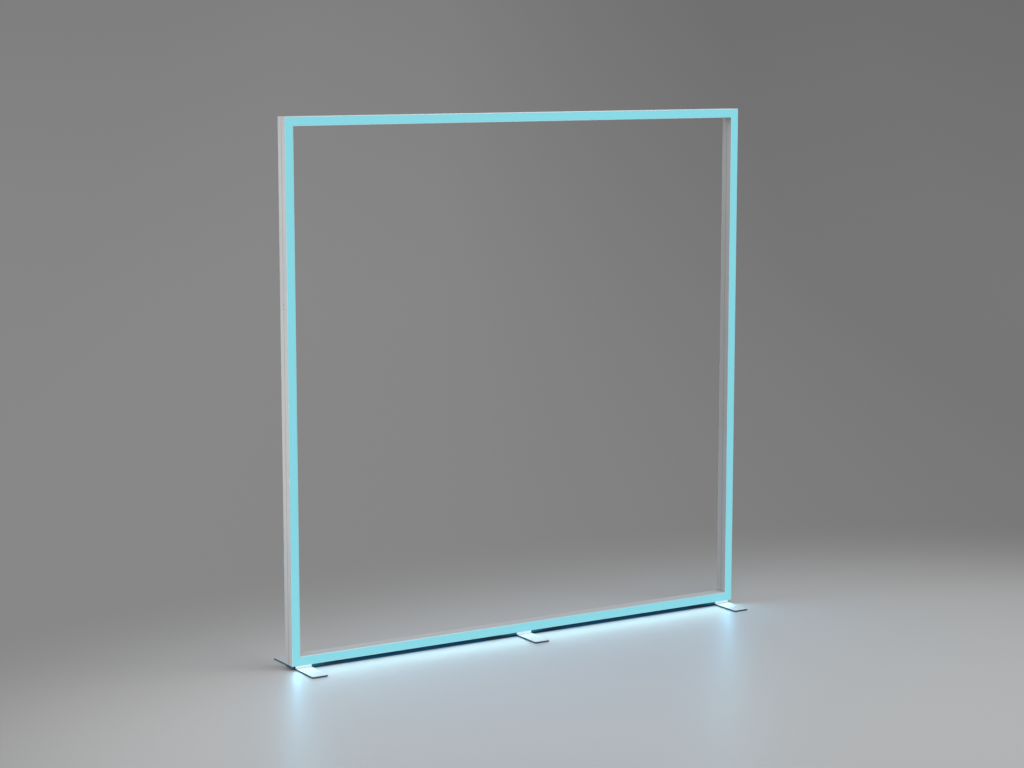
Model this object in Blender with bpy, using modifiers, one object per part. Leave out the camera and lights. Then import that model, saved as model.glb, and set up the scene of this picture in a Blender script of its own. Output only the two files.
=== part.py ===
# Lightbox display wall: a square open frame of aluminium extrusions with a lit band round its front,
# standing on three flat swivelling feet. Metres, +Z up, origin on the floor under the middle of the frame.
import math

import bmesh
import bpy
from mathutils import Matrix, Vector

for old in list(bpy.data.objects):
    bpy.data.objects.remove(old, do_unlink=True)

# Overall sizes
wall_width = 2.5
wall_height = 2.5
gap = 0.0003
overrun = 0.004

# Where each side's two lengths meet: posts from the bottom, rails from the left
post_joint_share = 0.66
rail_joint_share = 0.66

# Extrusion section: across the face, then from front to back
face_width = 0.042
depth = 0.070
skin = 0.0018
lip = 0.0026
ledge_front = 0.0033
ledge_thickness = 0.0015
ledge_reach = 0.0020
light_depth = 0.0160
rear_channel = 0.0160
keder_slot = 0.0032
scribe_depth = 0.0007
scribe_width = 0.0016
edge_break = 0.0006
slot_lead_in = 0.0008

# Light diffuser that snaps between the lips
diffuser_set_back = 0.0008
diffuser_thickness = 0.0022
clip_leg = 0.0012
clip_length = 0.0045
clip_barb = 0.0011

# Light strips
strip_width = 0.014
strip_thickness = 0.0012
led_size = 0.0050
led_height = 0.0014
led_pitch = 0.0833
link_diameter = 0.0030

# Corner brackets and splice bars, both inside the main chamber
bar_thickness = 0.018
bracket_leg = 0.110
bracket_gusset = 0.014
bracket_tip = 0.0030
bracket_wall = 0.0030
bracket_floor = 0.0120
bracket_boss = 0.0090
splice_length = 0.200
splice_chamfer = 0.0012
splice_screw_spacing = 0.0195
screw_radius = 0.0030
screw_length = 0.0120
screw_sink = 0.0006
screw_access = 0.0005
key_hole_radius = 0.0022
socket_radius = 0.0017
socket_depth = 0.0030
corner_screw_near = 0.045
corner_screw_far = 0.090

# Feet
foot_length = 0.400
foot_width = 0.080
foot_thickness = 0.007
foot_corner = 0.006
foot_chamfer = 0.0010
foot_inset = 0.020
pad_thickness = 0.0012
pad_margin = 0.003
spacer_width = 0.080
spacer_set_back = 0.0010
spacer_chamfer = 0.0008
foot_lift = 0.020
bolt_radius = 0.0040
bolt_head_radius = 0.0080
bolt_head_height = 0.0044
bolt_reach = 0.0120
bolt_socket_radius = 0.0029
bolt_socket_depth = 0.0030
pad_hole_clearance = 0.0020
nut_plate_length = 0.050
nut_plate_thickness = 0.0060

# Power inlet with its rocker, on the back of the right post
inlet_height = 0.200
inlet_width = 0.0264
inlet_length = 0.0464
inlet_body = 0.0270
flange_margin = 0.0018
flange_thickness = 0.0020
flange_corner = 0.0020
flange_chamfer = 0.0006
plug_recess_width = 0.0244
plug_recess_height = 0.0166
plug_recess_depth = 0.0160
plug_recess_chamfer = 0.0045
plug_recess_offset = 0.0115
pin_width = 0.0020
pin_height = 0.0040
pin_length = 0.0110
pin_root = 0.0050
pin_spread = 0.0070
pin_rise = 0.0020
rocker_offset = 0.0125
rocker_width = 0.0170
rocker_half_length = 0.0062
rocker_tip = 0.0030
rocker_dip = 0.0014
rocker_pivot_sink = 0.0008
rocker_tilt = math.radians(8)
axle_radius = 0.0015
axle_length = 0.0014

# Power supply and wiring
driver_length = 0.200
driver_height = 0.021
driver_width = 0.0285
driver_from_corner = 0.160
driver_bevel = 0.0015
gland_radius = 0.0042
gland_length = 0.0060
lead_diameter = 0.0050
lead_turn = 0.0150
feed_diameter = 0.0040
feed_clearance = 0.0010
feed_from_driver = 0.0400

# Smoothness
round_segments = 16
corner_segments = 6
arc_segments = 14
route_samples = 5
round_limit = math.radians(32)
flat_limit = math.radians(1)

# Derived places shared by several pieces
post_joint = wall_height * post_joint_share
rail_joint = wall_width * rail_joint_share
front = -depth / 2
led_web_front = light_depth
led_web_back = light_depth + skin
rear_web_back = depth - rear_channel
rear_web_front = rear_web_back - skin
slot_wall_inner = skin + keder_slot + skin
bar_low = skin + gap
bar_high = bar_low + bar_thickness
bar_front = led_web_back + gap
bar_back = rear_web_front - gap
bar_middle = (bar_front + bar_back) / 2
mitre_gap = gap / math.sqrt(2)
foot_offset = wall_width / 2 - foot_inset - foot_width / 2
pad_low = 0
plate_low = pad_thickness + gap
plate_high = plate_low + foot_thickness
spacer_low = plate_high + gap
spacer_high = foot_lift - gap

model = bpy.data.collections.new("lightbox_display_wall")
cutters = bpy.data.collections.new("cutters")
bpy.context.scene.collection.children.link(model)
bpy.context.scene.collection.children.link(cutters)

finishes = {
    "anodised": ((0.62, 0.63, 0.64, 1), 0.38, 1.0),
    "opal": ((0.27, 0.69, 0.78, 1), 0.45, 0.0),
    "circuit": ((0.85, 0.86, 0.85, 1), 0.50, 0.0),
    "cast": ((0.40, 0.41, 0.42, 1), 0.50, 1.0),
    "steel": ((0.30, 0.31, 0.32, 1), 0.35, 1.0),
    "powder": ((0.80, 0.81, 0.82, 1), 0.45, 0.0),
    "moulded": ((0.55, 0.56, 0.57, 1), 0.50, 0.0),
    "rubber": ((0.03, 0.03, 0.03, 1), 0.85, 0.0),
    "black": ((0.02, 0.02, 0.02, 1), 0.40, 0.0),
    "brass": ((0.70, 0.50, 0.22, 1), 0.30, 1.0),
    "wire": ((0.60, 0.60, 0.60, 1), 0.55, 0.0),
}


# Setting an object into the scene
def add_object(name, data, finish, parent=None, place=(0, 0, 0)):
    thing = bpy.data.objects.new(name, data)
    thing.location = place
    if parent:
        thing.parent = parent
    if finish is None:
        cutters.objects.link(thing)
        thing.hide_render = True
        thing.display_type = "WIRE"
        return thing
    model.objects.link(thing)
    colour, roughness, metallic = finishes[finish]
    paint = bpy.data.materials.new(name + "_" + finish)
    paint.use_nodes = True
    shader = paint.node_tree.nodes["Principled BSDF"]
    shader.inputs["Base Color"].default_value = colour
    shader.inputs["Roughness"].default_value = roughness
    shader.inputs["Metallic"].default_value = metallic
    data.materials.append(paint)
    return thing


# A closed mesh whose round stretches are shaded smooth and whose corners stay sharp
def mesh_from(bm, name):
    mesh = bpy.data.meshes.new(name)
    bmesh.ops.recalc_face_normals(bm, faces=bm.faces)
    for edge in bm.edges:
        turn = edge.calc_face_angle(math.pi)
        edge.smooth = turn < round_limit
        if flat_limit < turn < round_limit:
            for face in edge.link_faces:
                face.smooth = True
    bm.to_mesh(mesh)
    bm.free()
    return mesh


# What an object's curve or modifier makes, welded, with the object itself cleared away
def evaluated(holder):
    depsgraph = bpy.context.evaluated_depsgraph_get()
    mesh = bpy.data.meshes.new_from_object(holder.evaluated_get(depsgraph))
    bpy.data.objects.remove(holder)
    bm = bmesh.new()
    bm.from_mesh(mesh)
    bpy.data.meshes.remove(mesh)
    bmesh.ops.remove_doubles(bm, verts=bm.verts, dist=gap / 10)
    return bm


# A flat outline, with any holes in it, extruded from low to high along Z
def prism(name, outlines, low, high, turn=None):
    curve = bpy.data.curves.new(name, "CURVE")
    curve.dimensions = "2D"
    curve.fill_mode = "BOTH"
    curve.extrude = (high - low) / 2
    for points in outlines:
        spline = curve.splines.new("POLY")
        spline.points.add(len(points) - 1)
        for point, (x, y) in zip(spline.points, points):
            point.co = (x, y, 0, 1)
        spline.use_cyclic_u = True
    holder = bpy.data.objects.new(name, curve)
    cutters.objects.link(holder)
    bm = evaluated(holder)
    if len(outlines) == 1:
        bmesh.ops.dissolve_limit(bm, angle_limit=flat_limit, verts=bm.verts, edges=bm.edges)
    bmesh.ops.translate(bm, verts=bm.verts, vec=(0, 0, (low + high) / 2))
    if turn:
        bmesh.ops.transform(bm, verts=bm.verts, matrix=turn)
    return mesh_from(bm, name)


# Boxes given by opposite corners, in one mesh
def boxes(name, corners):
    bm = bmesh.new()
    for low, high in corners:
        low, high = Vector(low), Vector(high)
        size = Matrix.Diagonal((*(high - low), 1))
        bmesh.ops.create_cube(bm, size=1, matrix=Matrix.Translation((low + high) / 2) @ size)
    return mesh_from(bm, name)


# Round or six-sided bars, each from one point to another, in one mesh
def bars(name, ends, radius, segments=round_segments):
    bm = bmesh.new()
    for start, end in ends:
        start, end = Vector(start), Vector(end)
        turn = (end - start).to_track_quat("Z", "Y").to_matrix().to_4x4()
        place = Matrix.Translation((start + end) / 2) @ turn
        bmesh.ops.create_cone(
            bm, cap_ends=True, segments=segments, radius1=radius, radius2=radius,
            depth=(end - start).length, matrix=place)
    return mesh_from(bm, name)


# A turned piece: its outer side from top to bottom, revolved about Z
def turned(name, profile):
    outline = bpy.data.meshes.new(name)
    outline.from_pydata([(r, 0, z) for r, z in profile], [(i, i + 1) for i in range(len(profile) - 1)], [])
    holder = bpy.data.objects.new(name, outline)
    cutters.objects.link(holder)
    spin = holder.modifiers.new("spin", "SCREW")
    spin.steps = round_segments
    spin.render_steps = round_segments
    spin.use_merge_vertices = True
    spin.merge_threshold = gap / 10
    return mesh_from(evaluated(holder), name)


def boolean(thing, tool, operation="DIFFERENCE"):
    step = thing.modifiers.new(tool.name, "BOOLEAN")
    step.operation = operation
    step.solver = "EXACT"
    step.object = tool
    return thing


def cut(thing, mesh, place=(0, 0, 0)):
    tool = add_object("cut_" + mesh.name, mesh, None, thing.parent, place)
    return boolean(thing, tool)


# Several solids that don't touch, as one mesh
def joined(name, meshes):
    bm = bmesh.new()
    for mesh in meshes:
        bm.from_mesh(mesh)
        bpy.data.meshes.remove(mesh)
    return mesh_from(bm, name)


def soften(thing, width, angle=60):
    bevel = thing.modifiers.new("edge", "BEVEL")
    bevel.width = width
    bevel.segments = 1
    bevel.limit_method = "ANGLE"
    bevel.angle_limit = math.radians(angle)
    return thing


def rounded(width, length, radius):
    points = []
    for quarter in range(4):
        middle = math.pi / 4 + quarter * math.pi / 2
        cx = math.copysign(width / 2 - radius, math.cos(middle))
        cy = math.copysign(length / 2 - radius, math.sin(middle))
        for step in range(corner_segments + 1):
            angle = quarter * math.pi / 2 + step / corner_segments * math.pi / 2
            points.append((cx + radius * math.cos(angle), cy + radius * math.sin(angle)))
    return points


# A line for a wire: straight at both ends, and smooth through the points between them
def route(points):
    knots = [Vector(p) for p in points]
    first, last = knots[0], knots[-1]
    line = [first]
    for a, b, c, d in zip(knots, knots[1:], knots[2:], knots[3:]):
        for step in range(route_samples):
            t = step / route_samples
            bend = 2 * a - 5 * b + 4 * c - d
            twist = 3 * b - a - 3 * c + d
            line.append((2 * b + (c - a) * t + bend * t * t + twist * t ** 3) / 2)
    return line + [knots[-2], last]


def wire(name, points, diameter, parent):
    curve = bpy.data.curves.new(name, "CURVE")
    curve.dimensions = "3D"
    curve.bevel_depth = diameter / 2
    curve.bevel_resolution = 2
    curve.use_fill_caps = True
    spline = curve.splines.new("POLY")
    spline.points.add(len(points) - 1)
    for point, co in zip(spline.points, points):
        point.co = (*co, 1)
    return add_object(name, curve, "wire", parent)


# The four sides run round the frame from corner to corner. Each side's empty stands at its first outer
# corner: its X goes inwards across the face, its Y from front to back, its Z along the side.
sides = {
    "left": {
        "corner": (-wall_width / 2, front, foot_lift), "turn": 0, "length": wall_height,
        "joint": post_joint, "lengths": ("post_left_lower", "post_left_upper"),
        "start_corner": "bottom_left"},
    "top": {
        "corner": (-wall_width / 2, front, foot_lift + wall_height), "turn": math.pi / 2,
        "length": wall_width, "joint": rail_joint, "lengths": ("rail_top_left", "rail_top_right"),
        "start_corner": "top_left"},
    "right": {
        "corner": (wall_width / 2, front, foot_lift + wall_height), "turn": math.pi,
        "length": wall_height, "joint": wall_height - post_joint,
        "lengths": ("post_right_upper", "post_right_lower"), "start_corner": "top_right"},
    "bottom": {
        "corner": (wall_width / 2, front, foot_lift), "turn": -math.pi / 2, "length": wall_width,
        "joint": wall_width - rail_joint, "lengths": ("rail_bottom_right", "rail_bottom_left"),
        "start_corner": "bottom_right"},
}
for side_name, side in sides.items():
    side["empty"] = bpy.data.objects.new("side_" + side_name, None)
    side["empty"].location = side["corner"]
    side["empty"].rotation_euler = (0, side["turn"], 0)
    model.objects.link(side["empty"])


# Extrusion section, x across the face from the outside, y from front to back
def extrusion_outlines():
    ledge_back = ledge_front + ledge_thickness
    ledge_tip = lip + ledge_reach
    groove_middle = depth / 2
    slot_inner = skin + keder_slot
    front_and_light = [
        (edge_break, 0), (lip, 0), (lip, ledge_front), (ledge_tip, ledge_front),
        (ledge_tip, ledge_back), (skin, ledge_back), (skin, led_web_front),
        (face_width - skin, led_web_front), (face_width - skin, ledge_back),
        (face_width - ledge_tip, ledge_back), (face_width - ledge_tip, ledge_front),
        (face_width - lip, ledge_front), (face_width - lip, 0), (face_width - edge_break, 0)]
    back_and_slot = [
        (face_width, edge_break), (face_width, depth - edge_break), (face_width - edge_break, depth),
        (slot_inner + slot_lead_in, depth), (slot_inner, depth - slot_lead_in),
        (slot_inner, rear_web_back), (skin, rear_web_back), (skin, depth - slot_lead_in),
        (skin - slot_lead_in, depth), (edge_break, depth), (0, depth - edge_break)]
    scribe_line = [
        (0, groove_middle + scribe_width / 2), (scribe_depth, groove_middle),
        (0, groove_middle - scribe_width / 2), (0, edge_break)]
    main_chamber = [
        (skin, led_web_back), (face_width - skin, led_web_back),
        (face_width - skin, rear_web_front), (skin, rear_web_front)]
    rear_chamber = [
        (slot_wall_inner, rear_web_back), (face_width - skin, rear_web_back),
        (face_width - skin, depth - skin), (slot_wall_inner, depth - skin)]
    return [front_and_light + back_and_slot + scribe_line, main_chamber, rear_chamber]


# Diffuser section: a flat face with two barbed legs that hook under the ledges
def diffuser_outline():
    face_edge = lip + gap
    face_front = diffuser_set_back
    face_back = face_front + diffuser_thickness
    leg_outer = lip + ledge_reach + gap
    barb_front = ledge_front + ledge_thickness + gap
    leg_back = face_back + clip_length
    half = [
        (face_edge, face_front), (face_edge, face_back), (leg_outer, face_back),
        (leg_outer, barb_front), (leg_outer - clip_barb, barb_front), (leg_outer, leg_back),
        (leg_outer + clip_leg, leg_back), (leg_outer + clip_leg, face_back)]
    return half + [(face_width - x, y) for x, y in reversed(half)]


# Mitres an extruded piece at the corners it reaches, by sliding its end points along it
def mitre(mesh, start, end):
    middle = (start["at"] + end["at"]) / 2
    for vertex in mesh.vertices:
        if vertex.co.z < middle and start["mitred"]:
            vertex.co.z = start["at"] + vertex.co.x + mitre_gap
        if vertex.co.z > middle and end["mitred"]:
            vertex.co.z = end["at"] - vertex.co.x - mitre_gap
    return mesh


for side_name, side in sides.items():
    joint, length, empty = side["joint"], side["length"], side["empty"]
    spans = ((0, joint - gap / 2), (joint + gap / 2, length))
    for number, (low, high) in enumerate(spans):
        name = side["lengths"][number]
        mesh = prism(name, extrusion_outlines(), low, high)
        mitre(mesh, {"at": low, "mitred": number == 0}, {"at": high, "mitred": number == 1})
        side[number] = add_object(name, mesh, "anodised", empty)
        side[number, "holes"] = []
    mesh = prism("diffuser_" + side_name, [diffuser_outline()], 0, length)
    mitre(mesh, {"at": 0, "mitred": True}, {"at": length, "mitred": True})
    add_object(mesh.name, mesh, "opal", empty)


# Light strips: a circuit board with its lamps, seated on the web behind the diffuser
strip_back = led_web_front - gap
strip_front = strip_back - strip_thickness
strip_end = face_width / 2 + strip_width / 2 + gap + link_diameter / 2
for side_name, side in sides.items():
    name = "led_strip_" + side_name
    length = side["length"]
    across = face_width / 2
    board = boxes(name, [(
        (across - strip_width / 2, strip_front, strip_end),
        (across + strip_width / 2, strip_back, length - strip_end))])
    strip = add_object(name, board, "circuit", side["empty"])
    count = int((length - 2 * strip_end) / led_pitch)
    first = (length - (count - 1) * led_pitch) / 2
    lamps = boxes(name + "_lamps", [(
        (across - led_size / 2, strip_front - led_height, first + i * led_pitch - led_size / 2),
        (across + led_size / 2, strip_front + strip_thickness / 2,
         first + i * led_pitch + led_size / 2)) for i in range(count)])
    boolean(strip, add_object(name + "_lamps", lamps, None, side["empty"]), "UNION")

# Wire links carry the current round three corners, from one strip's end to the next
for side_name in ("left", "top", "right"):
    side = sides[side_name]
    bend = strip_end - gap - face_width / 2
    link_depth = led_web_front - gap - link_diameter / 2
    line = [(
        face_width / 2 + bend * (1 - math.cos(angle)), link_depth,
        face_width / 2 + bend * (1 - math.sin(angle)))
        for angle in (i / arc_segments * math.pi / 2 for i in range(arc_segments + 1))]
    wire("led_link_" + side["start_corner"], line, link_diameter, side["empty"])

# Corner brackets: an L with a gusset and tapered tips, in the main chambers of the two sides that meet.
# Pockets lighten each leg on either side of the boss that the foot's bolt screws into. The set screws
# are turned in flush, so each shows only its hexagon socket.
turn_back = Matrix.Rotation(math.pi / 2, 4, "X")
corner_screw_line = bar_low + bar_thickness / 2
bolt_at = foot_inset + foot_width / 2


def bracket_outline():
    leg_end = bracket_leg - bracket_tip
    half = [
        (bar_low + bracket_tip, bar_low), (leg_end, bar_low), (bracket_leg, bar_low + bracket_tip),
        (bracket_leg, bar_high - bracket_tip), (leg_end, bar_high), (bar_high + bracket_gusset, bar_high)]
    return half + [(z, x) for x, z in reversed(half)]


def bracket_pockets(name):
    across = (bar_low + bracket_wall, bar_high - bracket_wall)
    behind = (bar_front - overrun, bar_back - bracket_floor)
    stretches = (
        (bar_high + bracket_gusset, bolt_at - bracket_boss),
        (bolt_at + bracket_boss, bracket_leg - bracket_tip - bracket_wall))
    corners = []
    for near, far in stretches:
        corners.append(((across[0], behind[0], near), (across[1], behind[1], far)))
        corners.append(((near, behind[0], across[0]), (far, behind[1], across[1])))
    return boxes(name, corners)


for side in sides.values():
    name = "corner_bracket_" + side["start_corner"]
    mesh = prism(name, [bracket_outline()], -bar_back, -bar_front, turn_back)
    bracket = add_object(name, mesh, "cast", side["empty"])
    cut(bracket, bracket_pockets(name + "_pockets"))
    places = [(corner_screw_line, far) for far in (corner_screw_near, corner_screw_far)]
    places += [(far, corner_screw_line) for far in (corner_screw_near, corner_screw_far)]
    cut(bracket, bars(name + "_sockets", [
        ((x, bar_back - socket_depth, z), (x, bar_back + overrun, z)) for x, z in places],
        socket_radius, 6))
    cut(bracket, bars(name + "_bolt_holes", [
        ((0, bar_middle, bolt_at), (bar_high + overrun, bar_middle, bolt_at)),
        ((bolt_at, bar_middle, 0), (bolt_at, bar_middle, bar_high + overrun))], bolt_radius + gap))

# Access holes for the corner screws, through both rear walls of the extrusions
for side_name, side in sides.items():
    through = (rear_web_front - overrun / 2, depth + overrun)
    for number in (0, 1):
        near, far = corner_screw_near, corner_screw_far
        if number == 1:
            near, far = side["length"] - near, side["length"] - far
        side[number, "holes"].append(bars("key_holes", [
            ((corner_screw_line, through[0], z), (corner_screw_line, through[1], z))
            for z in (near, far)], key_hole_radius))

# Splice bars join each side's two lengths, held by a set screw on either side of the joint
for side_name, side in sides.items():
    name = "splice_bar_" + side_name
    joint = side["joint"]
    mesh = boxes(name, [(
        (bar_low, bar_front, joint - splice_length / 2),
        (bar_high, bar_back, joint + splice_length / 2))])
    splice = add_object(name, mesh, "cast", side["empty"])
    soften(splice, splice_chamfer)
    stations = [joint - splice_screw_spacing / 2, joint + splice_screw_spacing / 2]
    side["splice_screws"] = stations
    cut(splice, bars(name + "_screw_holes", [
        ((0, depth / 2, z), (bar_high + overrun, depth / 2, z)) for z in stations],
        screw_radius + gap))
    for number, z in enumerate(stations):
        side[number, "holes"].append(bars("screw_hole", [
            ((-overrun, depth / 2, z), (bar_low, depth / 2, z))], screw_radius + screw_access))


# Splice screws: a hexagon-socket set screw pins each length to its splice bar
for side in sides.values():
    for number, z in enumerate(side["splice_screws"]):
        name = "splice_screw_" + side["lengths"][number]
        outer = (screw_sink, depth / 2, z)
        inner = (screw_sink + screw_length, depth / 2, z)
        screw = add_object(name, bars(name, [(outer, inner)], screw_radius), "steel", side["empty"])
        floor = (screw_sink + socket_depth, depth / 2, z)
        cut(screw, bars(name + "_socket", [((-overrun, depth / 2, z), floor)], socket_radius, 6))

# Feet: a floor plate that swivels on its countersunk bolt, under a spacer block below the rail
bolt_top = foot_lift + bar_low + bolt_reach
bolt_low = plate_low + gap
head_top = bolt_low + bolt_head_height
bolt_profile = [
    (0, bolt_top), (bolt_radius, bolt_top), (bolt_radius, head_top), (bolt_head_radius, bolt_low),
    (0, bolt_low)]
countersink = [
    (0, plate_high + overrun), (bolt_radius + gap, plate_high + overrun),
    (bolt_radius + gap, head_top + gap), (bolt_head_radius + gap, bolt_low + gap),
    (bolt_head_radius + gap, -overrun), (0, -overrun)]
feet = {"left": -foot_offset, "middle": 0, "right": foot_offset}
spacer_depth = depth - 2 * spacer_set_back
for foot_name, foot_x in feet.items():
    pivot = (foot_x, 0, 0)
    plate = add_object("foot_plate_" + foot_name, prism(
        "foot_plate_" + foot_name, [rounded(foot_width, foot_length, foot_corner)],
        plate_low, plate_high), "powder", None, pivot)
    soften(plate, foot_chamfer)
    cut(plate, turned("foot_plate_" + foot_name + "_countersink", countersink), pivot)
    pad_outline = rounded(
        foot_width - 2 * pad_margin, foot_length - 2 * pad_margin, foot_corner - pad_margin)
    pad = add_object("foot_pad_" + foot_name, prism(
        "foot_pad_" + foot_name, [pad_outline], pad_low, pad_thickness), "rubber", None, pivot)
    cut(pad, bars("foot_pad_" + foot_name + "_hole", [
        ((0, 0, -overrun), (0, 0, overrun))], bolt_head_radius + pad_hole_clearance), pivot)
    spacer = add_object("foot_spacer_" + foot_name, boxes("foot_spacer_" + foot_name, [(
        (-spacer_width / 2, -spacer_depth / 2, spacer_low),
        (spacer_width / 2, spacer_depth / 2, spacer_high))]), "moulded", None, pivot)
    soften(spacer, spacer_chamfer)
    cut(spacer, bars("foot_spacer_" + foot_name + "_hole", [
        ((0, 0, spacer_low - overrun), (0, 0, spacer_high + overrun))], bolt_radius + gap), pivot)
    bolt = add_object("foot_bolt_" + foot_name, turned("foot_bolt_" + foot_name, bolt_profile),
                      "steel", None, pivot)
    cut(bolt, bars("foot_bolt_" + foot_name + "_socket", [
        ((0, 0, bolt_low - overrun), (0, 0, bolt_low + bolt_socket_depth))],
        bolt_socket_radius, 6), pivot)

# Bolt holes up through the bottom rail, in the length that each foot stands under
bottom = sides["bottom"]
for foot_name, foot_x in feet.items():
    station = wall_width / 2 - foot_x
    number = 0 if station < bottom["joint"] else 1
    bottom[number, "holes"].append(bars("bolt_hole", [
        ((-overrun, depth / 2, station), (bar_low, depth / 2, station))], bolt_radius + gap))

# The middle foot's bolt has its own nut plate, because no bracket reaches it
nut_plate = add_object("foot_nut_plate", boxes("foot_nut_plate", [(
    (bar_low, bar_front, wall_width / 2 - nut_plate_length / 2),
    (bar_low + nut_plate_thickness, bar_back, wall_width / 2 + nut_plate_length / 2))]),
    "steel", bottom["empty"])
cut(nut_plate, bars("foot_nut_plate_hole", [
    ((0, depth / 2, wall_width / 2), (face_width, depth / 2, wall_width / 2))], bolt_radius + gap))

# Power inlet in the back of the right post, below the rocker
right = sides["right"]
inlet_x = (slot_wall_inner + face_width) / 2
inlet_z = wall_height - inlet_height
flange_back = depth + gap
flange_face = flange_back + flange_thickness
right[1, "holes"].append(boxes("inlet_opening", [(
    (inlet_x - inlet_width / 2 - gap, rear_web_front - overrun / 2, inlet_z - inlet_length / 2 - gap),
    (inlet_x + inlet_width / 2 + gap, depth + overrun, inlet_z + inlet_length / 2 + gap))]))
flange = prism("inlet_housing", [rounded(
    inlet_width + 2 * flange_margin, inlet_length + 2 * flange_margin, flange_corner)],
    -flange_face, -flange_back, turn_back)
inlet = add_object("inlet_housing", flange, "black", right["empty"], (inlet_x, 0, inlet_z))
soften(inlet, flange_chamfer)
body = boxes("inlet_body", [(
    (-inlet_width / 2, flange_face - inlet_body, -inlet_length / 2),
    (inlet_width / 2, flange_face - flange_thickness / 2, inlet_length / 2))])
boolean(inlet, add_object("inlet_body", body, None, right["empty"], inlet.location), "UNION")
plug_outline = [
    (-plug_recess_width / 2, -plug_recess_height / 2), (plug_recess_width / 2, -plug_recess_height / 2),
    (plug_recess_width / 2, plug_recess_height / 2 - plug_recess_chamfer),
    (plug_recess_width / 2 - plug_recess_chamfer, plug_recess_height / 2),
    (plug_recess_chamfer - plug_recess_width / 2, plug_recess_height / 2),
    (-plug_recess_width / 2, plug_recess_height / 2 - plug_recess_chamfer)]
recess_floor = flange_face - plug_recess_depth
plug_place = (inlet_x, 0, inlet_z + plug_recess_offset)
cut(inlet, prism(
    "plug_recess", [plug_outline], -flange_face - overrun, -recess_floor, turn_back), plug_place)
pin_places = {
    "live": (-pin_spread, -pin_rise), "neutral": (pin_spread, -pin_rise), "earth": (0, pin_rise)}


def pin_box(name, x, z, extra):
    return boxes(name, [(
        (x - pin_width / 2 - extra, recess_floor - pin_root - extra, z - pin_height / 2 - extra),
        (x + pin_width / 2 + extra, recess_floor + pin_length, z + pin_height / 2 + extra))])


for pin_name, (x, z) in pin_places.items():
    name = "inlet_pin_" + pin_name
    cut(inlet, pin_box(name + "_seat", x, z, gap), plug_place)
    add_object(name, pin_box(name, x, z, 0), "brass", right["empty"], plug_place)

# Rocker: a drum segment with a shallow V face, on two stub axles
rocker_radius = math.hypot(rocker_half_length, rocker_tip)
pivot_depth = flange_face - rocker_pivot_sink
rocker_place = (inlet_x, pivot_depth, inlet_z - rocker_offset)
tip_angle = math.atan2(rocker_tip, rocker_half_length)
sweep = math.pi + 2 * tip_angle
rocker_outline = [(0, rocker_tip - rocker_dip)]
for step in range(arc_segments + 1):
    angle = tip_angle - step / arc_segments * sweep
    rocker_outline.append((rocker_radius * math.cos(angle), rocker_radius * math.sin(angle)))
across = Matrix(((0, 0, 1, 0), (0, 1, 0, 0), (-1, 0, 0, 0), (0, 0, 0, 1)))
tilt = Matrix.Rotation(rocker_tilt, 4, "X")
rocker = add_object("power_rocker", prism(
    "power_rocker", [rocker_outline], -rocker_width / 2, rocker_width / 2, tilt @ across),
    "black", right["empty"], rocker_place)
axle_half = rocker_width / 2 + axle_length
axle = bars("rocker_axle", [((-axle_half, 0, 0), (axle_half, 0, 0))], axle_radius)
boolean(rocker, add_object("rocker_axle", axle, None, right["empty"], rocker_place), "UNION")
reach = rocker_radius + gap
pocket_half = rocker_width / 2 + gap
cut(inlet, boxes("rocker_pocket", [(
    (-pocket_half, -reach, -reach), (pocket_half, overrun, reach))]), rocker_place)
cut(inlet, bars("axle_seats", [((-axle_half - gap, 0, 0), (axle_half + gap, 0, 0))],
                axle_radius + gap), rocker_place)

# Power supply in the bottom rail's right length, with a gland at each end for its leads
driver_end = driver_from_corner + driver_length
driver_middle = bar_low + driver_height / 2
gland_near = driver_from_corner - gland_length
gland_far = driver_end + gland_length
driver = add_object("power_supply", boxes("power_supply", [(
    (bar_low, bar_middle - driver_width / 2, driver_from_corner),
    (bar_low + driver_height, bar_middle + driver_width / 2, driver_end))]),
    "moulded", bottom["empty"])
soften(driver, driver_bevel)
glands = bars("power_supply_glands", [
    ((driver_middle, bar_middle, gland_near), (driver_middle, bar_middle, gland_far))], gland_radius)
boolean(driver, add_object("power_supply_glands", glands, None, bottom["empty"]), "UNION")

lead_height = (bar_high + face_width - skin) / 2
inlet_rear = flange_face - inlet_body - gap
wire("supply_lead", route([
    (inlet_height, inlet_rear, inlet_x),
    (inlet_height, inlet_rear - lead_diameter / 2, inlet_x),
    (inlet_height - lead_diameter, bar_middle, inlet_x),
    (inlet_height - lead_turn - lead_diameter, bar_middle, (inlet_x + lead_height) / 2),
    (inlet_height / 2, bar_middle, lead_height),
    (lead_height + lead_turn, bar_middle, lead_height),
    (lead_height, bar_middle, lead_height + lead_turn),
    (lead_height, bar_middle, bracket_leg),
    (driver_middle, bar_middle, gland_near - lead_turn),
    (driver_middle, bar_middle, gland_near - lead_diameter),
    (driver_middle, bar_middle, gland_near - gap)]), lead_diameter, bottom["empty"])

# The feed runs from the power supply through the front web to the back of the bottom light strip
feed_at = gland_far + feed_from_driver
feed_turn = feed_from_driver / 3
wire("feed_lead", route([
    (driver_middle, bar_middle, gland_far + gap),
    (driver_middle, bar_middle, gland_far + feed_diameter),
    (driver_middle, bar_middle, gland_far + feed_turn),
    (face_width / 2, (bar_middle + led_web_back) / 2, feed_at - feed_turn / 2),
    (face_width / 2, led_web_back + feed_diameter / 2, feed_at),
    (face_width / 2, led_web_back, feed_at),
    (face_width / 2, strip_back + gap, feed_at)]), feed_diameter, bottom["empty"])
bottom[0, "holes"].append(bars("feed_hole", [
    ((face_width / 2, strip_front, feed_at), (face_width / 2, bar_middle, feed_at))],
    feed_diameter / 2 + feed_clearance))

# Every hole in a length of extrusion is cut at once
for side in sides.values():
    for number in (0, 1):
        name = side["lengths"][number] + "_holes"
        cut(side[number], joined(name, side[number, "holes"]))
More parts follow.
